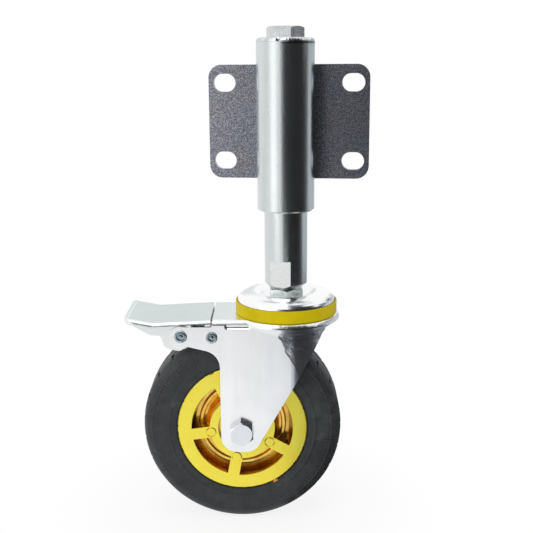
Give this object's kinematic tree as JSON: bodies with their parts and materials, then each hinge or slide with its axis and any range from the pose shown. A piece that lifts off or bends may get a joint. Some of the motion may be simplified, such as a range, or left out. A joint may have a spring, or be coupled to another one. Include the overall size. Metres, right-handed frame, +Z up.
{
  "type": "spring loaded gate caster",
  "caption": "Gate caster: a slotted wall plate with a sprung sliding stem, a swivel fork on ball races, a rubber tyred wheel and a foot brake.",
  "frame": {"origin": "middle of the slotted mounting plate's back face", "axes": "+Z up along the stem, +Y out of the plate's back face into the gate, +X along the plate"},
  "size_m": [0.1509, 0.0677, 0.3079],
  "materials": {
    "plate_steel": "mottled dull zinc",
    "weld": "plated weld bead",
    "zinc": "bright zinc plating",
    "bolt_zinc": "zinc plated fastener",
    "nylon": "plain nylon",
    "spring_steel": "oiled spring wire",
    "ball_steel": "polished",
    "yellow_seal": "satin yellow plastic",
    "tyre_rubber": "matt black rubber",
    "gold_rim": "glossy gold plating"
  },
  "bodies": {
    "housing": {"mount_plate": "plate_steel", "plate_welds": "weld", "outer_tube": "zinc", "top_cap": "zinc", "cap_weld": "weld", "guide_bush": "nylon", "coil_spring": "spring_steel"},
    "strut": {"stem_tube": "zinc", "spring_seat": "zinc", "guide_bolt": "bolt_zinc", "stem_plug": "zinc", "stem_nut": "bolt_zinc", "kingpin": "bolt_zinc", "swivel_cap": "zinc", "kingpin_sleeve": "zinc", "bottom_cup": "zinc", "lower_balls": "ball_steel"},
    "fork": {"fork": "zinc", "dust_ring": "yellow_seal", "upper_balls": "ball_steel", "axle_bolt": "bolt_zinc", "axle_nut": "bolt_zinc", "axle_sleeve": "zinc", "side_spacers": "zinc", "bearing_inner_rings": "ball_steel", "pedal_rivets": "bolt_zinc", "shoe_rivets": "bolt_zinc"},
    "wheel": {"tyre": "tyre_rubber", "rim": "gold_rim", "bearing_outer_rings": "ball_steel", "bearing_balls": "ball_steel"},
    "pedal": {"brake_pedal": "zinc"},
    "shoe": {"brake_shoe": "zinc"}
  },
  "joints": [
    {"name": "stem_slide", "type": "slide", "parent": "housing", "child": "strut", "axis": [0, 0, 1], "range_m": [0, 0.04], "stiffness_N_per_m": 5800, "springref_m": -0.016, "deforming": ["coil_spring"]},
    {"name": "swivel", "type": "hinge", "parent": "strut", "child": "fork", "pos_m": [0, -0.0215, -0.112], "axis": [0, 0, 1], "continuous": true},
    {"name": "wheel_spin", "type": "hinge", "parent": "fork", "child": "wheel", "pos_m": [-0.02799, -0.02494, -0.18838], "axis": [-0.1219, 0.9925, 0], "continuous": true},
    {"name": "pedal_press", "type": "hinge", "parent": "fork", "child": "pedal", "pos_m": [-0.06432, -0.0294, -0.12638], "axis": [0.1219, -0.9925, 0], "range_deg": [0, 22]},
    {"name": "shoe_press", "type": "hinge", "parent": "fork", "child": "shoe", "pos_m": [-0.04556, -0.02709, -0.12708], "axis": [0.1219, -0.9925, 0], "range_deg": [0, 11]}
  ],
  "couplings": [
    {"joint": "shoe_press", "follows": "pedal_press", "ratio": 0.5}
  ]
}
